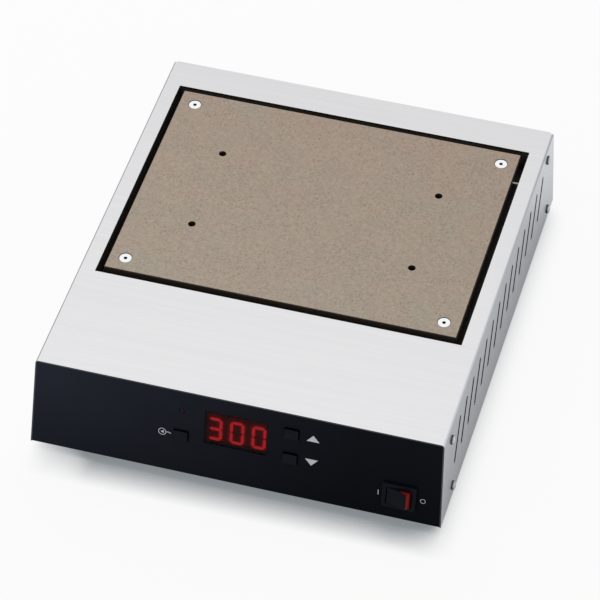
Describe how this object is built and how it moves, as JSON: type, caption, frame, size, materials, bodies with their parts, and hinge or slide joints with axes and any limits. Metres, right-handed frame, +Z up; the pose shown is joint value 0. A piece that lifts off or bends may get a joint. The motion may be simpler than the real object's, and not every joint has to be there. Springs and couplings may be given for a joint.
{
  "type": "pcb preheater",
  "caption": "Bench preheater for circuit boards: flat heating plate in a vented steel housing with a leaning black panel, digital display, keys and a power rocker.",
  "frame": {"origin": "on the bench, at the middle of the bounding box's underside", "axes": "+Z up, -Y towards the user at the control panel, +X to the user's right"},
  "size_m": [0.2998, 0.3422, 0.0758],
  "materials": {
    "stainless": "brushed stainless sheet",
    "black_paint": "satin black powder coat",
    "zinc_sheet": "zinc-plated sheet",
    "zinc_screw": "bright zinc",
    "plate_coat": "matt mottled ceramic coat",
    "white_ceramic": "fired, unglazed",
    "mica": "pressed mica",
    "fibre": "ceramic fibre board",
    "blackened_steel": "heat-proof black",
    "rubber": "moulded rubber",
    "black_plastic": "moulded, fine grain",
    "key_plastic": "moulded, satin",
    "white_plastic": "moulded",
    "red_plastic": "moulded, glossy",
    "window_red": "tinted acrylic",
    "segment_lit": "lit segment",
    "segment_dark": "unlit segment",
    "lamp_red": "tinted resin, unlit",
    "circuit_board": "solder mask",
    "brass": "tinned brass",
    "core_steel": "laminated steel",
    "coil": "taped winding",
    "sink_aluminium": "extruded",
    "fuse_glass": "glass tube",
    "terminal_plastic": "moulded"
  },
  "bodies": {
    "housing": {"top_cover": "stainless", "base_plate": "zinc_sheet", "front_panel": "black_paint", "rear_panel": "black_paint", "cover_screws": "zinc_screw", "base_screws": "zinc_screw", "feet": "rubber", "foot_screws": "zinc_screw", "foot_nuts": "zinc_screw", "heating_plate": "plate_coat", "plate_screws": "zinc_screw", "heater_mat": "mica", "insulation_board": "fibre", "heat_tray": "blackened_steel", "ceramic_spacers": "white_ceramic", "tray_posts": "zinc_screw", "post_screws": "zinc_screw", "temperature_probe": "zinc_screw", "thermal_cutout": "black_plastic", "control_board": "circuit_board", "board_posts": "zinc_screw", "board_screws": "zinc_screw", "display_block": "black_plastic", "digits_lit": "segment_lit", "digits_dark": "segment_dark", "display_window": "window_red", "status_lamp": "lamp_red", "lamp_spacer": "white_plastic", "tact_switches": "black_plastic", "switch_housing": "black_plastic", "switch_tabs": "brass", "power_board": "circuit_board", "power_posts": "zinc_screw", "power_screws": "zinc_screw", "transformer_core": "core_steel", "transformer_coil": "coil", "heat_sink": "sink_aluminium", "triac": "black_plastic", "fuse": "fuse_glass", "fuse_clips": "brass", "terminal_block": "terminal_plastic", "mains_inlet": "black_plastic", "inlet_blades": "brass", "inlet_screws": "zinc_screw", "inlet_nuts": "zinc_screw", "remote_socket": "black_plastic", "earth_stud": "brass", "earth_nuts": "brass"},
    "set_button": {"set_key": "key_plastic", "set_plunger": "white_plastic"},
    "up_button": {"up_key": "key_plastic", "up_plunger": "white_plastic"},
    "down_button": {"down_key": "key_plastic", "down_plunger": "white_plastic"},
    "power_rocker": {"rocker": "black_plastic", "rocker_flag": "red_plastic"}
  },
  "joints": [
    {"name": "set_press", "type": "slide", "parent": "housing", "child": "set_button", "axis": [0, 0.9806, -0.1959], "range_m": [0, 0.0008], "stiffness_N_per_m": 1500, "springref_m": -0.0005},
    {"name": "up_press", "type": "slide", "parent": "housing", "child": "up_button", "axis": [0, 0.9806, -0.1959], "range_m": [0, 0.0008], "stiffness_N_per_m": 1500, "springref_m": -0.0005},
    {"name": "down_press", "type": "slide", "parent": "housing", "child": "down_button", "axis": [0, 0.9806, -0.1959], "range_m": [0, 0.0008], "stiffness_N_per_m": 1500, "springref_m": -0.0005},
    {"name": "power_rocker_tilt", "type": "hinge", "parent": "housing", "child": "power_rocker", "pos_m": [0.117, -0.16302, 0.02632], "axis": [0, 0.1959, 0.9806], "range_deg": [0, 36]}
  ]
}
